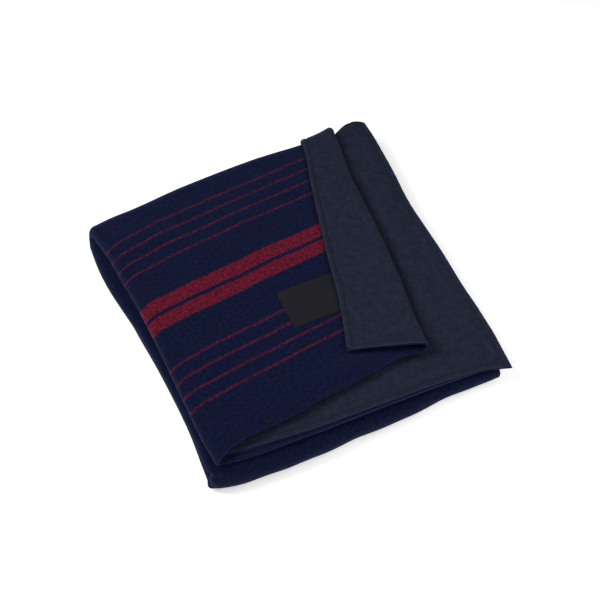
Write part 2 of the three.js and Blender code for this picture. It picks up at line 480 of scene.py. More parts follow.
def upper_leaf(part, station, inset):
    """The upper leaf of a pair, from the left fold to where it turns back."""
    left = read(LEFT_SIDE, "station", station, "left")
    bend = turned(station, "bend")
    x = lerp(left + across(left, "half"), bend, part)
    still = np.zeros_like(x)
    side = bend - x + turned(station, "arc") + turned(station, "back")
    return x, across(x, "half"), still, still + 1, hem(x, "upper"), still, side, still + 1


def kept_end(station, inset):
    """How much of the curl and of the turned back cloth is left, short of the side hem."""
    arc, back = turned(station, "arc"), turned(station, "back")
    kept_back = np.maximum(back - inset, np.minimum(back, LEAST_BACK))
    share = 1 - np.maximum(inset - back + kept_back, 0) / arc
    return share, kept_back


def curl(part, station, inset):
    """The curl in which the upper leaf turns back."""
    bend, arc = turned(station, "bend"), turned(station, "arc")
    part = part * kept_end(station, inset)[0]
    turn = np.radians(np.maximum(turned(station, "curl"), LEAST_CURL))
    radius = arc / turn
    nx, nr = -np.sin(part * turn), np.cos(part * turn)
    front = hem(bend, "upper") + TURNED_SLANT * part * arc / 2
    side = arc * (1 - part) + turned(station, "back")
    rise = across(bend, "half") + radius * (1 - nr)
    return bend - radius * nx, rise, nx, nr, front, 0 * nx, side, nr


def turned_back(part, station, inset):
    """The turned back end of the upper leaf, which comes down on the leaf towards its hem."""
    x, rise, nx, nr, front, roll, _, _ = curl(np.ones_like(part), station, inset)
    length = part * kept_end(station, inset)[1]
    x = x + length * nr
    lying = across(x, "half") + TURNED_LIFT
    risen = rise - length * nx
    comes_down = (turned(station, "curl") > NEARLY_HALF_TURN) & (risen > lying)
    rise = np.where(comes_down, lerp(risen, lying, part), risen)
    side = turned(station, "back") - length
    return x, rise, nx, nr, front + TURNED_SLANT * length, roll, side, nr


LEAVES = {
    "lower": lower_leaf,
    "fold": left_fold,
    "upper": upper_leaf,
    "curl": curl,
    "back": turned_back,
}


def smooth(start, end, value):
    """From 0 at start to 1 at end, eased."""
    t = np.clip((value - start) / (end - start), 0, 1)
    return t * t * (3 - 2 * t)


def crease_lift(creases, x, y):
    """The height of the creases of a leaf at places of the pile."""
    lift = np.zeros_like(x)
    for x1, y1, x2, y2, bow, wide, height in zip(*creases.values()):
        length = math.hypot(x2 - x1, y2 - y1)
        along_x, along_y = (x2 - x1) / length, (y2 - y1) / length
        t = ((x - x1) * along_x + (y - y1) * along_y) / length
        aside = (y - y1) * along_x - (x - x1) * along_y - bow * 4 * t * (1 - t)
        ends = smooth(*CREASE_RISE, t) * smooth(*CREASE_FADE, t)
        lift += height * ends * np.exp(-(aside / wide) ** 2)
    return lift


def ripple_lift(ripples, x, y):
    """The height of the slow waves of a leaf at places of the pile."""
    lift = np.zeros_like(x)
    for per_x, per_y, phase, height in zip(*ripples.values()):
        lift += height * np.sin(2 * np.pi * MM * (per_x * x + per_y * y) + phase)
    return lift


def top_lift(x, y):
    """How far the upper leaf of the top pair stands up: creases, waves and its raised front."""
    front = hem(x, "raised") * smooth(RAISED_REACH, 0, y - hem(x, "upper"))
    return crease_lift(TOP_CREASES, x, y) + ripple_lift(TOP_RIPPLES, x, y) + front


def leaf_lift(name, x, y, z, station):
    """How far creases and waves move a leaf out from its pair's middle."""
    on_top = smooth(*TOP_FADE, station)
    if name == "fold":
        return 0 * x
    if name == "lower":
        under = crease_lift(UNDER_CREASES, x, y) + ripple_lift(UNDER_RIPPLES, x, y)
        on_wall = smooth(*WALL_RISE, station) * smooth(*WALL_FADE, station)
        wall = crease_lift(WALL_CREASES, x, z) + ripple_lift(WALL_RIPPLES, x, z)
        return on_top * under - on_wall * wall
    bend = turned(station, "bend")
    lift = top_lift(x, y) + turned(station, "raised") * smooth(bend - BEND_REACH, bend, x)
    if name == "upper":
        return on_top * lift
    return on_top * (lift + crease_lift(FLAP_CREASES, x, y) + ripple_lift(FLAP_RIPPLES, x, y))


def corner_lift(points):
    """The height of the creases at the front left corner."""
    lift = np.zeros(points.shape[:-1])
    for x1, y1, z1, x2, y2, z2, wide, height in zip(*CORNER_CREASES.values()):
        start, along = np.array((x1, y1, z1)), np.array((x2 - x1, y2 - y1, z2 - z1))
        t = np.clip((points - start) @ along / (along @ along), 0, 1)
        away = np.linalg.norm(points - start - t[..., None] * along, axis=-1)
        lift += height * np.exp(-(away / wide) ** 2)
    return lift


def corner_pull(points):
    """How far the cloth is pulled aside at the front left corner."""
    pull = np.zeros_like(points)
    for x, y, z, wide, to_x, to_y in zip(*CORNER_PULLS.values()):
        away = np.linalg.norm(points - np.array((x, y, z)), axis=-1)
        pull += np.exp(-(away / wide) ** 2)[..., None] * np.array((to_x, to_y, 0))
    return pull


def stripe_sway(name, part, station, x):
    """How far the wool's stripes are moved along the cloth at places of a stretch."""
    left = read(LEFT_SIDE, "station", station, "left")
    at_fold = read(LEFT_SIDE, "station", station, "sway") * smooth(*SWAY_REACH, x - left)
    on_top = {"lower": 0 * part, "fold": part}.get(name, 1 + 0 * part)
    return at_fold + on_top * smooth(*SWAY_FADE, station) * read(STRIPE_SWAY, "x", x, "sway")


def settle(points):
    """Lifts or lowers points with the soft rises and sags of the pile."""
    for x, y, wide, deep, lift in zip(*SWELLS.values()):
        u, v = (points[..., 0] - x) / wide, (points[..., 1] - y) / deep
        points[..., 2] += points[..., 2] / PILE_TOP * lift * np.exp(-u * u - v * v)
    return points


def round_corner(a, b, radius):
    """Distances from two hems, moved so that the corner between them is round, and the
    distance from the rounded edge."""
    inside = (a > 0) & (b > 0) & (a < radius) & (b < radius)
    p, q = 1 - a / radius, 1 - b / radius
    p_round = p * np.sqrt(np.maximum(1 - q * q / 2, 0))
    q_round = q * np.sqrt(np.maximum(1 - p * p / 2, 0))
    a_round = np.where(inside, radius * (1 - p_round), a)
    b_round = np.where(inside, radius * (1 - q_round), b)
    edge = np.where(inside, radius * (1 - np.hypot(p_round, q_round)), np.minimum(a, b))
    return a_round, b_round, edge


class FoldedGrid:
    """A grid over the whole folded blanket, stations by columns, for one of its cloths. edge is
    each point's distance from the hem, cover its distance in from the cotton's edge, and sway
    how far the wool's stripes are moved there."""

    def __init__(self, columns, stations, is_cotton):
        stretches = [self.stretch(name, parts, stations, is_cotton) for name, parts in columns]
        fields = [np.hstack(field) for field in zip(*stretches)]
        self.x, self.y, self.z, self.rise, self.nx, self.nr, self.ny, self.nz = fields[:8]
        self.edge, self.cover, self.sway = fields[8:]

    @staticmethod
    def stretch(name, parts, stations, is_cotton):
        part, station = np.meshgrid(parts, stations)
        inset = COTTON_INSET if is_cotton else 0
        x, rise, nx, nr, front, roll, side, outward = LEAVES[name](part, station, inset)
        first, last = station < 1, station > 4
        roll = np.where(first, roll, 0)
        own_roll = roll if is_cotton else 0 * roll
        y, z, ny, nz = pair_middle(station, x, front + own_roll, inset)
        ahead = np.where(first, y - front, np.where(last, BOTTOM_END - y, BOTTOM_END))
        radius = CORNER_ROUND.get(name, CORNER_ROUND["lower"])
        own_side, own_ahead = side - inset, ahead - inset - own_roll
        side_round, ahead_round, _ = round_corner(own_side, own_ahead, radius)
        edge = round_corner(side, ahead, radius)[2]
        cover = round_corner(side - COTTON_INSET, ahead - COTTON_INSET - roll, radius)[2]
        pucker = np.sin(2 * np.pi * (x + y) / PUCKER_LENGTH)
        pucker = pucker * smooth(*PUCKER_REACH, edge) * smooth(*PUCKER_END, station)
        rise = rise + leaf_lift(name, x, y, z, station) + PUCKER_LIFT * pucker
        sway = stripe_sway(name, part, station, x)
        x = x - outward * (side_round - own_side)
        y = y + np.where(first, 1, -1) * (ahead_round - own_ahead)
        return x, y, z, rise, nx, nr, ny, nz, edge, cover, sway

    def points(self, offset):
        """The points so far towards the wool from the seam between the cloths."""
        y, z = self.y + self.rise * self.ny, self.z + self.rise * self.nz
        seam = np.stack((self.x, y, z), axis=-1)
        out = (offset + corner_lift(seam))[..., None]
        points = settle(seam + out * self.ways_out() + corner_pull(seam))
        points[..., 2] = np.maximum(points[..., 2], 0)
        return points

    def ways_out(self):
        """The way from the cotton to the wool at each point."""
        return np.stack((self.nx, self.nr * self.ny, self.nr * self.nz), axis=-1)


def spaced(length, pitch):
    """Even parts of a stretch, one about every pitch, without its start."""
    count = max(round(length / pitch), 1)
    return [(index + 1) / count for index in range(count)]


def from_hem(length, near_steps, fine_reach, pitch):
    """Parts of a stretch that starts at a hem: closest together there, then finely spaced as
    far as one reach, and then even."""
    near, rest = fine_reach - near_steps[-1], length - fine_reach
    fine = [near_steps[-1] + part * near for part in spaced(near, FINE_PITCH)]
    even = [fine_reach + part * rest for part in spaced(rest, pitch)]
    return [place / length for place in (*near_steps, *fine, *even)]


def to_hem(length, near_steps, fine_reach, pitch):
    """Parts of a stretch that ends at a hem, without its start."""
    return [1 - part for part in reversed(from_hem(length, near_steps, fine_reach, pitch))][1:]


# Lengths of the stretches, and how closely the grid follows them
LEAF_LENGTH = 430
UPPER_LENGTH = 350
RUN_LENGTH = 420
BACK_LENGTH = 90
FINE_PITCH = 2.9
TOP_PITCH = 6
UNDER_PITCH = 11
HIDDEN_PITCH = 20
SIDE_FINE = 104
FRONT_FINE = 92
BACK_FINE = 70
HIDDEN_FINE = 17
TURN_STEPS = 16
FRONT_TURN_STEPS = 28
CURL_STEPS = 14
WOOL_NEAR = (0, 0.2, 0.6, 1, 1.5, 2.1, 2.8, 3.5, 4.2, 4.9, 5.7, 6.6, 7.6, 8.6, 9.6, 10.8, 12, 14)
COTTON_NEAR = (0, 0.15, 0.4, 0.8, 1.6, 2.8, 4.2, 5.4, 6.5, 7.5, 8.5, 9.6, 11.5)


def cloth_grid(near_steps, is_cotton):
    """The grid for one of the two cloths."""
    fold_steps = spaced(TURN_STEPS, 1)
    columns = (
        ("lower", from_hem(LEAF_LENGTH, near_steps, SIDE_FINE, UNDER_PITCH)),
        ("fold", fold_steps),
        ("upper", spaced(UPPER_LENGTH, TOP_PITCH)),
        ("curl", spaced(CURL_STEPS, 1)),
        ("back", to_hem(BACK_LENGTH, near_steps, BACK_FINE, TOP_PITCH)),
    )
    stations = [
        *from_hem(RUN_LENGTH, near_steps, FRONT_FINE, TOP_PITCH),
        *(1 + part for part in fold_steps),
        *(2 + part for part in spaced(RUN_LENGTH, HIDDEN_PITCH)),
        *(3 + part for part in spaced(FRONT_TURN_STEPS, 1)),
        *(4 + part for part in to_hem(RUN_LENGTH, near_steps, HIDDEN_FINE, HIDDEN_PITCH)),
    ]
    return FoldedGrid(columns, stations, is_cotton)


# Making meshes

# The pile's own zero, found from the label's solid
LABEL_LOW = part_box("label")[0]
PILE_ZERO = np.array((
    LABEL_LOW.x - MM * (LABEL_CORNER[0] - LABEL_HEIGHT * math.sin(LABEL_TILT)),
    LABEL_LOW.y - MM * LABEL_CORNER[1],
    0,
))


def to_frame(points):
    """Places of the pile, in millimetres, as places of the frame, in metres."""
    return PILE_ZERO + MM * points


def new_piece(name, points, faces, material):
    """A smooth mesh that rides on the blanket's body."""
    mesh = bpy.data.meshes.new(name)
    mesh.from_pydata(to_frame(points).tolist(), [], faces)
    mesh.polygons.foreach_set("use_smooth", [True] * len(mesh.polygons))
    mesh.materials.append(material)
    piece = bpy.data.objects.new(name, mesh)
    bpy.context.scene.collection.objects.link(piece)
    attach(piece, "root")
    return piece


def sheet_faces(rows, columns):
    """The faces of a closed sheet whose under and over faces are grids of points."""
    index = np.arange(rows * columns).reshape(rows, columns)
    over = index + rows * columns

    def quads(a, b, c, d):
        return np.stack((a, b, c, d), axis=-1).reshape(-1, 4)

    top, bottom = over, index
    faces = (
        quads(top[:-1, :-1], top[:-1, 1:], top[1:, 1:], top[1:, :-1]),
        quads(bottom[:-1, :-1], bottom[1:, :-1], bottom[1:, 1:], bottom[:-1, 1:]),
        quads(bottom[:-1, 0], top[:-1, 0], top[1:, 0], bottom[1:, 0]),
        quads(top[:-1, -1], bottom[:-1, -1], bottom[1:, -1], top[1:, -1]),
        quads(bottom[0, :-1], bottom[0, 1:], top[0, 1:], top[0, :-1]),
        quads(top[-1, :-1], top[-1, 1:], bottom[-1, 1:], bottom[-1, :-1]),
    )
    return np.vstack(faces).tolist()


def travelled(points, axis):
    """Distance along the rows or columns of a grid of points."""
    steps = np.linalg.norm(np.diff(points, axis=axis), axis=-1)
    start = np.zeros_like(np.take(steps, [0], axis=axis))
    return np.concatenate((start, np.cumsum(steps, axis=axis)), axis=axis)


def lay_flat(piece, across_cloth, along_cloth, edge):
    """Keeps on the mesh where each point lies in the flat cloth, and how far from the hem."""
    mesh = piece.data
    flat = np.stack((across_cloth, along_cloth), axis=-1).reshape(-1, 2)
    flat = MM * np.vstack((flat, flat))
    corners = np.empty(len(mesh.loops), dtype=np.int32)
    mesh.loops.foreach_get("vertex_index", corners)
    mesh.uv_layers.new(name="cloth").data.foreach_set("uv", flat[corners].ravel())
    distance = mesh.attributes.new("hem", "FLOAT", "POINT")
    distance.data.foreach_set("value", MM * np.concatenate((edge.ravel(), edge.ravel())))


def cloth_piece(name, grid, near, far, edge, material):
    """One of the two cloths, a closed sheet between two offsets from the seam."""
    under, over = grid.points(near), grid.points(far)
    points = np.concatenate((under.reshape(-1, 3), over.reshape(-1, 3)))
    piece = new_piece(name, points, sheet_faces(*grid.x.shape), material)
    middle = grid.points(0)
    lay_flat(piece, travelled(middle, 1), travelled(middle, 0) - grid.sway, edge)
    return piece


def bulge(value, radius):
    """The rounded edge of a cloth: from its tip to full thickness."""
    t = np.clip(value / radius, 0, 1)
    return HEM_TIP + (1 - HEM_TIP) * np.sqrt(1 - (1 - t) ** 2)


def stitch_dip(cover):
    """How strongly the stitches pull at the cloths, by distance from the cotton's edge."""
    return np.exp(-((cover - STITCH_INSET) / STITCH_WIDTH) ** 2)


WOOL_FACE = CLEAR / 2 + WOOL
COTTON_FACE = CLEAR / 2 + COTTON


def make_wool(grid, material):
    """The wool, which comes round behind the seam and up in a roll where the front hem has one."""
    dip = stitch_dip(grid.cover)
    roll = grid.edge - grid.cover
    across_roll = np.clip(grid.edge / np.maximum(roll, COTTON_INSET), 0, 1)
    outer, inner = across_roll / ROLL_GROOVE, (across_roll - ROLL_GROOVE) / (1 - ROLL_GROOVE)
    bead = np.sin(np.pi * np.where(outer < 1, outer, inner))
    full_roll = np.clip(roll / ROLL_FULL, 0, 1)
    started = lerp(1, smooth(*ROLL_START, grid.x), full_roll)
    in_roll = started * (1 - smooth(*HEM_CREVICE, grid.cover))
    low = lerp(CLEAR / 2 + SEAM_SINK * dip, -HEM_BEHIND - ROLL_PUFF * full_roll * bead, in_roll)
    high = WOOL_FACE - WOOL_SINK * dip
    middle, full = (low + high) / 2, bulge(grid.edge, HEM_ROUND)
    near, far = lerp(middle, low, full), lerp(middle, high, full)
    return cloth_piece("striped_wool", grid, near, far, grid.edge, material)


def make_cotton(grid, material):
    """The cotton, which puffs up between its folded edge and the stitches."""
    middle, reach = (COTTON_FACE + CLEAR / 2) / 2, COTTON / 2
    tip = reach * bulge(grid.cover, COTTON_ROUND)
    puff = COTTON_PUFF * np.sin(np.pi * np.clip(grid.cover / STITCH_INSET, 0, 1))
    dip = stitch_dip(grid.cover)
    near = -middle - tip - puff + COTTON_SINK * dip
    far = np.minimum(-middle + tip, -CLEAR / 2) + SEAM_SINK * dip
    return cloth_piece("cotton_back", grid, near, far, grid.cover, material)


def from_both_ends(length):
    """Places across the label, close together at both its edges."""
    inner = length / 2 - LABEL_NEAR[-1]
    half = [*LABEL_NEAR, *(LABEL_NEAR[-1] + part * inner for part in spaced(inner, LABEL_PITCH))]
    return np.array(half + [length - place for place in reversed(half[:-1])])


def make_label(material):
    """The bare label, a close woven strip that lies on the wool of the top leaf."""
    u, v = np.meshgrid(from_both_ends(LABEL_WIDTH), from_both_ends(LABEL_HEIGHT))
    edge = np.minimum(np.minimum(u, LABEL_WIDTH - u), np.minimum(v, LABEL_HEIGHT - v))
    x = LABEL_CORNER[0] + u * math.cos(LABEL_TILT) - v * math.sin(LABEL_TILT)
    y = LABEL_CORNER[1] + u * math.sin(LABEL_TILT) + v * math.cos(LABEL_TILT)
    middle = pair_middle(np.zeros_like(x), x, y, 0)[1]
    under = middle + across(x, "half") + top_lift(x, y) + WOOL_FACE + LABEL_LIFT
    puff = LABEL_PUFF * np.sin(np.pi * np.clip(edge / LABEL_SEAM, 0, 1))
    over = under + LABEL_THICKNESS * bulge(edge, LABEL_THICKNESS) + puff
    faces = [settle(np.stack((x, y, z), axis=-1)).reshape(-1, 3) for z in (under, over)]
    points = np.concatenate(faces)
    piece = new_piece("bare_label", points, sheet_faces(*x.shape), material)
    lay_flat(piece, u, v, edge)
    return piece


# Stitches: the thread, the stitch and its rings as parts along it and of its thickness
THREAD = 0.42
THREAD_SINK = 0.1
STITCH_LENGTH = 2.9
STITCH_STEP = 3.9
STITCH_SIDES = 5
STITCH_RINGS = ((0.02, 0.3), (0.16, 0.85), (0.5, 1), (0.84, 0.85), (0.98, 0.3))

# The ways to look at a grid so that each of its rows runs in from one of the four hems
HEM_VIEWS = (
    lambda field: field,
    lambda field: field[:, ::-1],
    lambda field: field.swapaxes(0, 1),
    lambda field: field.swapaxes(0, 1)[:, ::-1],
)


def hem_line(cover, surface, ways_out):
    """Where each row of a grid, followed in from its hem, comes to the stitches."""
    line, ways = [], []
    for row in range(len(cover)):
        past = np.flatnonzero(cover[row] >= STITCH_INSET)
        if len(past) and past[0] > 0:
            at = past[0]
            t = (STITCH_INSET - cover[row, at - 1]) / (cover[row, at] - cover[row, at - 1])
            line.append(lerp(surface[row, at - 1], surface[row, at], t))
            ways.append(lerp(ways_out[row, at - 1], ways_out[row, at], t))
    return np.array(line), np.array(ways)


def stitch_points(start, end, way):
    """The rings of one stitch between two places, bowed a little out of the cloth."""
    along = end - start
    aside = np.cross(along, way)
    aside /= np.linalg.norm(aside)
    out = np.cross(aside, along)
    out /= np.linalg.norm(out)
    points = []
    for part, size in STITCH_RINGS:
        middle = start + part * along + (THREAD * size / 2 - THREAD_SINK) * out
        for angle in np.arange(STITCH_SIDES) * 2 * math.pi / STITCH_SIDES:
            spoke = math.cos(angle) * aside + math.sin(angle) * out
            points.append(middle + THREAD * size / 2 * spoke)
    return points


def stitch_faces(first):
    """The faces between the rings of a stitch, and its two closed ends."""
    faces = [tuple(first + side for side in range(STITCH_SIDES))]
    for ring in range(len(STITCH_RINGS) - 1):
        here = first + ring * STITCH_SIDES
        for side in range(STITCH_SIDES):
            after = (side + 1) % STITCH_SIDES
            over = here + STITCH_SIDES
            faces.append((here + after, here + side, over + side, over + after))
    last = first + (len(STITCH_RINGS) - 1) * STITCH_SIDES
    faces.append(tuple(last + side for side in reversed(range(STITCH_SIDES))))
    return faces


def make_stitches(name, grid, offset, side, material):
    """The topstitching round the blanket, as it shows on one side of it."""
    surface, ways_out = grid.points(offset), side * grid.ways_out()
    points, faces = [], []
    for view in HEM_VIEWS:
        line, ways = hem_line(view(grid.cover), view(surface), view(ways_out))
        steps = np.linalg.norm(np.diff(line, axis=0), axis=1)
        travel = np.concatenate(([0], np.cumsum(steps)))
        starts = np.arange(0, travel[-1] - STITCH_LENGTH, STITCH_STEP)
        place = [np.interp(starts, travel, line[:, axis]) for axis in range(3)]
        ends = [np.interp(starts + STITCH_LENGTH, travel, line[:, axis]) for axis in range(3)]
        way = [np.interp(starts, travel, ways[:, axis]) for axis in range(3)]
        for stitch in zip(np.transpose(place), np.transpose(ends), np.transpose(way)):
            faces += stitch_faces(len(points))
            points += stitch_points(*stitch)
    return new_piece(name, np.array(points), faces, material)


# Materials

WOOL_NAVY = ((0.0009, 0.0018, 0.0129), (0.0050, 0.0094, 0.0479))
WOOL_RED = ((0.0745, 0.0024, 0.0075), (0.2652, 0.0083, 0.0237))
COTTON_SLATE = ((0.0059, 0.0080, 0.0195), (0.0177, 0.0228, 0.0504))
LABEL_CHARCOAL = ((0.0054, 0.0053, 0.0091), (0.0094, 0.0091, 0.0153))
# Lighter colours painted along the hems' edges as a highlight
WOOL_EDGE_HIGHLIGHT = (0.0135, 0.0220, 0.0711)
COTTON_EDGE_HIGHLIGHT = (0.0323, 0.0404, 0.0759)
THREAD_SLATE = (0.0083, 0.0105, 0.0246)
THREAD_NAVY = (0.0026, 0.0050, 0.0230)
WOOL_SHEEN = (0.36, 0.55, 1.0)
COTTON_SHEEN = (0.7, 0.8, 1.0)

# Millimetres over which the painted highlight along a hem's edge and the painted shade along its
# stitches fade
HEM_HIGHLIGHT_REACH = 2.4
STITCH_SHADE = 1.8

# The colour sockets of a mix node
MIX_FACTOR = 0
MIX_FROM = 6
MIX_TO = 7
MIX_RESULT = 2


class Nodes:
    """Adds nodes to one tree and links them."""

    def __init__(self, tree):
        self.tree = tree

    def feed(self, socket, value):
        """Links a socket to the one that its value comes from, or sets the value itself."""
        if isinstance(value, bpy.types.NodeSocket):
            self.tree.links.new(value, socket)
        elif socket.type == "RGBA":
            socket.default_value = (*value, 1)
        else:
            socket.default_value = value

    def add(self, kind, inputs=(), **settings):
        """A node with its settings, and its inputs as values or as the sockets they come from."""
        node = self.tree.nodes.new(kind)
        for key, value in settings.items():
            setattr(node, key, value)
        for key, value in dict(inputs).items():
            self.feed(node.inputs[key], value)
        return node

    def math(self, operation, *values):
        """One step of arithmetic."""
        return self.add("ShaderNodeMath", enumerate(values), operation=operation).outputs[0]

    def stretch(self, value, low, high, to_low=0.0, to_high=1.0):
        """A value eased from one range to another."""
        inputs = {"Value": value, 1: low, 2: high, 3: to_low, 4: to_high}
        kind = "ShaderNodeMapRange"
        return self.add(kind, inputs, interpolation_type="SMOOTHSTEP").outputs[0]

    def noise(self, vector, scale, detail, roughness):
        """Soft random patches, about so many a metre."""
        inputs = {"Vector": vector, "Scale": scale, "Detail": detail, "Roughness": roughness}
        return self.add("ShaderNodeTexNoise", inputs).outputs["Fac"]

    def scaled(self, vector, by):
        """A place with each of its axes stretched."""
        inputs = {0: vector, 1: by}
        return self.add("ShaderNodeVectorMath", inputs, operation="MULTIPLY").outputs[0]

    def mix(self, amount, a, b):
        """A colour between two others."""
        inputs = {MIX_FACTOR: amount, MIX_FROM: a, MIX_TO: b}
        return self.add("ShaderNodeMix", inputs, data_type="RGBA").outputs[MIX_RESULT]


def new_group(name, inputs, outputs):
    """An empty shader node group with named inputs and outputs."""
    group = bpy.data.node_groups.new(name, "ShaderNodeTree")
    for label, kind in inputs:
        group.interface.new_socket(label, in_out="INPUT", socket_type=kind)
    for label in outputs:
        group.interface.new_socket(label, in_out="OUTPUT", socket_type="NodeSocketFloat")
    given = group.nodes.new("NodeGroupInput").outputs
    results = group.nodes.new("NodeGroupOutput").inputs
    return Nodes(group), given, results


VECTOR = "NodeSocketVector"
FLOAT = "NodeSocketFloat"

# The scale of an uneven thread's streak along the thread, next to its scale across it
STREAK = 0.06


def weave_group():
    """Threads over and under each other. Cloth is the place in the flat cloth in metres, Pitch
    the room of a thread, and Repeat how many threads until the same crossing returns."""
    sockets = (("Cloth", VECTOR), ("Pitch", FLOAT), ("Repeat", FLOAT))
    nodes, given, results = new_group("woven threads", sockets, ("Warp", "Height"))
    place = nodes.add("ShaderNodeSeparateXYZ", {0: given["Cloth"]}).outputs
    u = nodes.math("DIVIDE", place["X"], given["Pitch"])
    v = nodes.math("DIVIDE", place["Y"], given["Pitch"])
    crossing = nodes.math("ADD", nodes.math("FLOOR", u), nodes.math("FLOOR", v))
    diagonal = nodes.math("FRACT", nodes.math("DIVIDE", crossing, given["Repeat"]))
    warp = nodes.math("LESS_THAN", diagonal, 0.5)
    round_u = nodes.math("ABSOLUTE", nodes.math("SINE", nodes.math("MULTIPLY", u, math.pi)))
    round_v = nodes.math("ABSOLUTE", nodes.math("SINE", nodes.math("MULTIPLY", v, math.pi)))
    over_warp = nodes.math("MULTIPLY", warp, round_u)
    over_weft = nodes.math("MULTIPLY", nodes.math("SUBTRACT", 1.0, warp), round_v)
    nodes.tree.links.new(warp, results["Warp"])
    nodes.tree.links.new(nodes.math("ADD", over_warp, over_weft), results["Height"])
    return nodes.tree


def nap_group():
    """Loose short fibres on a cloth: a fine mottle and its height."""
    sockets = (("Cloth", VECTOR), ("Fineness", FLOAT))
    nodes, given, results = new_group("loose fibres", sockets, ("Mottle", "Height"))
    coarseness = nodes.math("DIVIDE", given["Fineness"], 4.0)
    fine = nodes.noise(given["Cloth"], given["Fineness"], detail=5.0, roughness=0.7)
    coarse = nodes.noise(given["Cloth"], coarseness, detail=3.0, roughness=0.55)
    both = nodes.math("MULTIPLY", nodes.math("ADD", fine, coarse), 0.5)
    nodes.tree.links.new(nodes.stretch(both, low=0.36, high=0.64), results["Mottle"])
    nodes.tree.links.new(fine, results["Height"])
    return nodes.tree


def slub_group():
    """Slightly thicker and thinner threads, in streaks both ways across a cloth."""
    sockets = (("Cloth", VECTOR), ("Fineness", FLOAT))
    nodes, given, results = new_group("uneven threads", sockets, ("Streaks",))
    along = nodes.scaled(given["Cloth"], (STREAK, 1.0, 1.0))
    aside = nodes.scaled(given["Cloth"], (1.0, STREAK, 1.0))
    streaks = [
        nodes.noise(vector, given["Fineness"], detail=2.0, roughness=0.6)
        for vector in (along, aside)
    ]
    both = nodes.math("MULTIPLY", nodes.math("ADD", *streaks), 0.5)
    nodes.tree.links.new(nodes.stretch(both, low=0.38, high=0.62), results["Streaks"])
    return nodes.tree


def stripe_group():
    """The red stripes across the wool, by distance along the cloth from its front hem."""
    nodes, given, results = new_group("red stripes", (("Cloth", VECTOR),), ("Thin", "Band"))
    place = nodes.add("ShaderNodeSeparateXYZ", {0: given["Cloth"]}).outputs["Y"]
    for reach, scale in ((STRIPE_DRIFT, STRIPE_DRIFT_SCALE), (STRIPE_FUZZ, STRIPE_FUZZ_SCALE)):
        patches = nodes.noise(given["Cloth"], scale, detail=2.0, roughness=0.5)
        offset = nodes.math("SUBTRACT", patches, 0.5)
        place = nodes.math("MULTIPLY_ADD", offset, reach * MM, place)
    for kind, result in (("thin", "Thin"), ("band", "Band")):
        total = 0.0
        for _, middle, width in (row for row in STRIPES if row[0] == kind):
            away = nodes.math("ABSOLUTE", nodes.math("SUBTRACT", place, middle * MM))
            low, high = (width / 2 - STRIPE_SOFT) * MM, (width / 2 + STRIPE_SOFT) * MM
            stripe = nodes.stretch(away, low, high, to_low=1.0, to_high=0.0)
            total = nodes.math("MAXIMUM", total, stripe)
        nodes.tree.links.new(total, results[result])
    return nodes.tree


def new_material(name):
    """A material with its nodes and its shader."""
    material = bpy.data.materials.new(name)
    material.use_nodes = True
    return material, Nodes(material.node_tree), material.node_tree.nodes["Principled BSDF"]


def flat_place(nodes):
    """The place of each point in the flat cloth."""
    return nodes.add("ShaderNodeUVMap", uv_map="cloth").outputs["UV"]


def place_group(nodes, group, **inputs):
    """A shared effect in a material, with that material's own values."""
    return nodes.add("ShaderNodeGroup", inputs, node_tree=group).outputs


def set_shader(shader, **values):
    """Values that are the same all over, set on the shader's own sockets."""
    for name, value in values.items():
        shader.inputs[name.replace("_", " ")].default_value = value


def bump(nodes, height, distance, strength=1.0, normal=None):
    """The fine relief of a surface, over another relief if there is one."""
    inputs = {"Height": height, "Distance": distance * MM, "Strength": strength}
    if normal:
        inputs["Normal"] = normal
    return nodes.add("ShaderNodeBump", inputs).outputs["Normal"]


def near_hem(nodes, inset, reach, strength):
    """A soft line at one distance from the hem, strongest in its middle."""
    distance = nodes.add("ShaderNodeAttribute", attribute_name="hem").outputs["Fac"]
    away = nodes.math("ABSOLUTE", nodes.math("SUBTRACT", distance, inset * MM))
    return nodes.stretch(away, 0.0, reach * MM, to_low=strength, to_high=0.0)


def wool_material(weave, nap, stripes):
    """Soft brushed navy wool in a twill, with red woven stripes."""
    material, nodes, shader = new_material("brushed striped wool")
    cloth = flat_place(nodes)
    twill = place_group(nodes, weave, Cloth=cloth, Pitch=1.15 * MM, Repeat=4.0)
    fibres = place_group(nodes, nap, Cloth=cloth, Fineness=900.0)
    stripe = place_group(nodes, stripes, Cloth=cloth)
    navy = nodes.mix(fibres["Mottle"], *WOOL_NAVY)
    red = nodes.mix(fibres["Mottle"], *WOOL_RED)
    weft = nodes.stretch(twill["Warp"], 0.0, 1.0, to_low=1.0, to_high=0.72)
    speckle = nodes.stretch(fibres["Mottle"], 0.0, 1.0, to_low=0.66, to_high=1.0)
    mixed = nodes.math("MULTIPLY", stripe["Band"], nodes.math("MULTIPLY", weft, speckle))
    sparse = nodes.stretch(fibres["Mottle"], 0.0, 1.0, to_low=0.22, to_high=0.46)
    thin = nodes.math("MULTIPLY", stripe["Thin"], sparse)
    amount = nodes.math("MAXIMUM", mixed, thin)
    color = nodes.mix(amount, navy, red)
    # A painted highlight along the wool's hem edge
    color = nodes.mix(near_hem(nodes, 0.0, HEM_HIGHLIGHT_REACH, strength=0.4), color, WOOL_EDGE_HIGHLIGHT)
    nodes.tree.links.new(color, shader.inputs["Base Color"])
    height = nodes.math("MULTIPLY_ADD", fibres["Height"], 1.1, twill["Height"])
    nodes.tree.links.new(bump(nodes, height, distance=0.35, strength=0.75), shader.inputs["Normal"])
    set_shader(
        shader,
        Roughness=0.95,
        Specular_IOR_Level=0.11,
        Sheen_Weight=0.095,
        Sheen_Roughness=0.5,
        Sheen_Tint=(*WOOL_SHEEN, 1),
    )
    return material


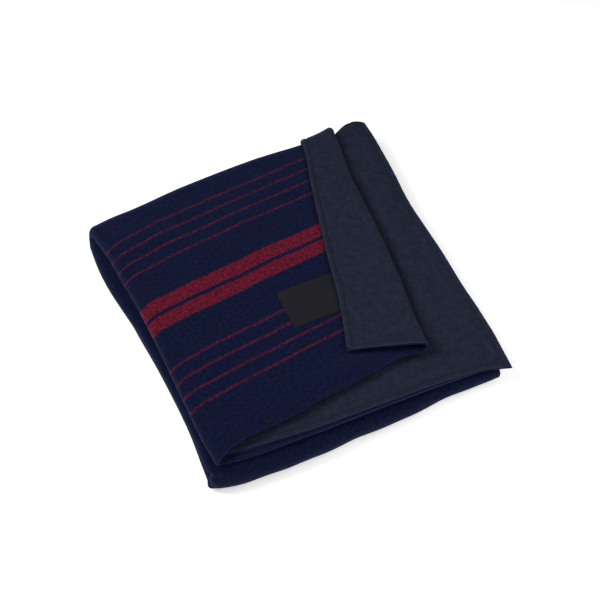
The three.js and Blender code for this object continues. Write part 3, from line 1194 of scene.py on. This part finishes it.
def cotton_material(weave, slubs, nap):
    """Plain woven slate cotton, a little crumpled."""
    material, nodes, shader = new_material("slate cotton")
    cloth = flat_place(nodes)
    plain = place_group(nodes, weave, Cloth=cloth, Pitch=0.62 * MM, Repeat=2.0)
    uneven = place_group(nodes, slubs, Cloth=cloth, Fineness=800.0)
    fibres = place_group(nodes, nap, Cloth=cloth, Fineness=380.0)
    mottle = nodes.math("MULTIPLY", fibres["Mottle"], 0.5)
    amount = nodes.math("MULTIPLY_ADD", uneven["Streaks"], 0.5, mottle)
    color = nodes.mix(amount, *COTTON_SLATE)
    # Painted shade along the stitches, where the cloth dips into a groove
    seam = near_hem(nodes, STITCH_INSET, STITCH_SHADE, strength=0.7)
    color = nodes.mix(seam, color, COTTON_SLATE[0])
    # A painted highlight along the cotton's folded edge
    color = nodes.mix(near_hem(nodes, 0.0, HEM_HIGHLIGHT_REACH, strength=0.6), color, COTTON_EDGE_HIGHLIGHT)
    nodes.tree.links.new(color, shader.inputs["Base Color"])
    crumple = nodes.noise(cloth, scale=42.0, detail=4.0, roughness=0.55)
    soft = bump(nodes, crumple, distance=1.6, strength=0.5)
    threads = nodes.math("MULTIPLY_ADD", uneven["Streaks"], 0.5, plain["Height"])
    fine = bump(nodes, threads, distance=0.14, strength=0.7, normal=soft)
    nodes.tree.links.new(fine, shader.inputs["Normal"])
    set_shader(
        shader,
        Roughness=0.85,
        Specular_IOR_Level=0.2,
        Sheen_Weight=0.045,
        Sheen_Roughness=0.4,
        Sheen_Tint=(*COTTON_SHEEN, 1),
    )
    return material


def label_material(weave, nap):
    """Close woven charcoal, a little smoother than the cloths."""
    material, nodes, shader = new_material("charcoal label weave")
    cloth = flat_place(nodes)
    satin = place_group(nodes, weave, Cloth=cloth, Pitch=0.5 * MM, Repeat=5.0)
    fibres = place_group(nodes, nap, Cloth=cloth, Fineness=1500.0)
    mottle = nodes.math("MULTIPLY", fibres["Mottle"], 0.6)
    amount = nodes.math("MULTIPLY_ADD", satin["Warp"], 0.4, mottle)
    nodes.tree.links.new(nodes.mix(amount, *LABEL_CHARCOAL), shader.inputs["Base Color"])
    fine = bump(nodes, satin["Height"], distance=0.1, strength=0.6)
    nodes.tree.links.new(fine, shader.inputs["Normal"])
    set_shader(shader, Roughness=0.62, Specular_IOR_Level=0.2, Sheen_Weight=0.02)
    return material


def thread_material(name, color, nap):
    """Sewing thread, twisted and slightly glossy."""
    material, nodes, shader = new_material(name)
    place = nodes.add("ShaderNodeTexCoord").outputs["Object"]
    fibres = place_group(nodes, nap, Cloth=place, Fineness=4000.0)
    shade = tuple(0.6 * value for value in color)
    twist = nodes.mix(fibres["Mottle"], shade, color)
    nodes.tree.links.new(twist, shader.inputs["Base Color"])
    nodes.tree.links.new(bump(nodes, fibres["Height"], distance=0.08), shader.inputs["Normal"])
    set_shader(shader, Roughness=0.55, Specular_IOR_Level=0.15)
    return material


# The blanket

def make_blanket():
    """All the pieces, each in place of its solid."""
    weave, nap, slubs, stripes = weave_group(), nap_group(), slub_group(), stripe_group()
    navy_thread = thread_material("navy sewing thread", THREAD_NAVY, nap)
    slate_thread = thread_material("slate sewing thread", THREAD_SLATE, nap)
    wool_grid, cotton_grid = cloth_grid(WOOL_NEAR, False), cloth_grid(COTTON_NEAR, True)
    wool = make_wool(wool_grid, wool_material(weave, nap, stripes))
    cotton = make_cotton(cotton_grid, cotton_material(weave, slubs, nap))
    label = make_label(label_material(weave, nap))
    wool_stitches = make_stitches(
        "wool_side_stitches", wool_grid, WOOL_FACE - WOOL_SINK, 1, navy_thread
    )
    cotton_stitches = make_stitches(
        "cotton_side_stitches", cotton_grid, COTTON_SINK - COTTON_FACE, -1, slate_thread
    )
    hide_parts("wool_face")
    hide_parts("cotton_backing")
    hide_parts("label")


# The room

CAMERA_TARGET = np.array((220.5, 207.9, 25.0))
CAMERA_AZIMUTH = math.radians(-24.07)
CAMERA_HEIGHT = math.radians(57.96)
CAMERA_DISTANCE = 1.4
CAMERA_LENS = 59.88
CAMERA_SENSOR = 36.0
PHOTO_SIZE = 600
CAMERA_SHIFT = 4 / PHOTO_SIZE

FLOOR_SIZE = 12.0
FLOOR_COLOR = (0.86, 0.86, 0.86, 1)
FLOOR_GLOW = 0.5
ROOM_LIGHT = 0.02
# Area lights: azimuth and height in degrees, distance and width in metres, and power
LIGHTS = (
    (-120, 50, 2.0, 1.0, 27),
    (50, 55, 1.2, 0.9, 7),
    (-30, 50, 2.0, 1.0, 4),
)


def way_to(azimuth, height):
    """The way from the blanket to a place round it; azimuth 0 is in front of it."""
    flat = math.cos(height)
    return Vector((flat * math.sin(azimuth), -flat * math.cos(azimuth), math.sin(height)))


def aim(piece, place, target):
    """Puts a camera or a light in its place, looking at the target."""
    piece.location = place
    piece.rotation_euler = (target - place).to_track_quat("-Z", "Y").to_euler()
    bpy.context.scene.collection.objects.link(piece)


def make_camera():
    """The camera at the photo's viewing angle."""
    camera = bpy.data.cameras.new("camera")
    camera.sensor_width = CAMERA_SENSOR
    camera.lens = CAMERA_LENS
    camera.shift_y = CAMERA_SHIFT
    piece = bpy.data.objects.new("camera", camera)
    target = Vector(to_frame(CAMERA_TARGET))
    aim(piece, target + CAMERA_DISTANCE * way_to(CAMERA_AZIMUTH, CAMERA_HEIGHT), target)
    bpy.context.scene.camera = piece


def make_room():
    """A plain pale floor under soft studio light."""
    mesh = bpy.data.meshes.new("floor")
    reach = FLOOR_SIZE / 2
    corners = [(-reach, -reach, 0), (reach, -reach, 0), (reach, reach, 0), (-reach, reach, 0)]
    mesh.from_pydata(corners, [], [(0, 1, 2, 3)])
    floor = bpy.data.objects.new("floor", mesh)
    bpy.context.scene.collection.objects.link(floor)
    paint = bpy.data.materials.new("pale floor")
    paint.use_nodes = True
    set_shader(
        paint.node_tree.nodes["Principled BSDF"],
        Base_Color=FLOOR_COLOR,
        Roughness=0.9,
        Emission_Color=FLOOR_COLOR,
        Emission_Strength=FLOOR_GLOW / FLOOR_COLOR[0],
    )
    mesh.materials.append(paint)
    world = bpy.data.worlds.new("studio")
    world.use_nodes = True
    world.node_tree.nodes["Background"].inputs["Strength"].default_value = ROOM_LIGHT
    world.node_tree.nodes["Background"].inputs["Color"].default_value = (1, 1, 1, 1)
    bpy.context.scene.world = world
    target = Vector(to_frame(CAMERA_TARGET))
    for number, (azimuth, height, distance, width, power) in enumerate(LIGHTS):
        light = bpy.data.lights.new(f"light_{number}", "AREA")
        light.size = width
        light.energy = power
        piece = bpy.data.objects.new(light.name, light)
        place = target + distance * way_to(math.radians(azimuth), math.radians(height))
        aim(piece, place, target)


make_camera()
make_room()
make_blanket()
bpy.context.scene.view_settings.view_transform = "Standard"
